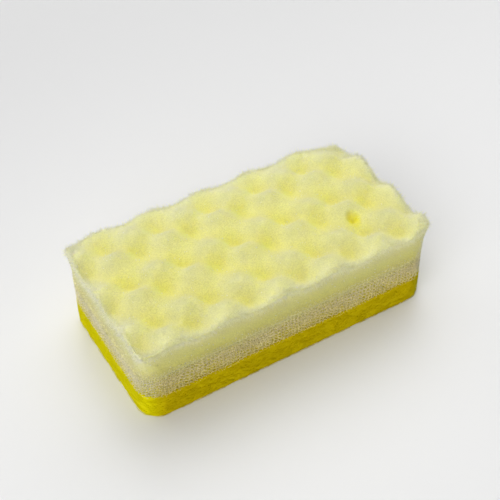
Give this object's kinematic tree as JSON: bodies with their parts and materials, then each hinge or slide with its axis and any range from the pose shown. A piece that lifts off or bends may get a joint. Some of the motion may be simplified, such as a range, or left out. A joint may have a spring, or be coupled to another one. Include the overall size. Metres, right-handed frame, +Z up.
{
  "type": "cleaning sponge",
  "caption": "Rectangular household cleaning sponge: a soft foam layer with an egg-crate face and a coarse net foam layer, bonded on a scouring pad.",
  "frame": {"origin": "middle of the scouring pad's lower face, where the sponge stands", "axes": "+X along the length, +Y across the width, +Z up from the scouring pad to the egg-crate face"},
  "size_m": [0.1152, 0.0602, 0.035],
  "materials": {
    "scouring_pad": "non-woven fibre, matt",
    "net_foam": "coarse open-cell foam, matt",
    "soft_foam": "fine open-cell foam, matt"
  },
  "bodies": {
    "root": {"scouring_pad": "scouring_pad", "net_foam": "net_foam", "soft_foam": "soft_foam"}
  },
  "joints": []
}
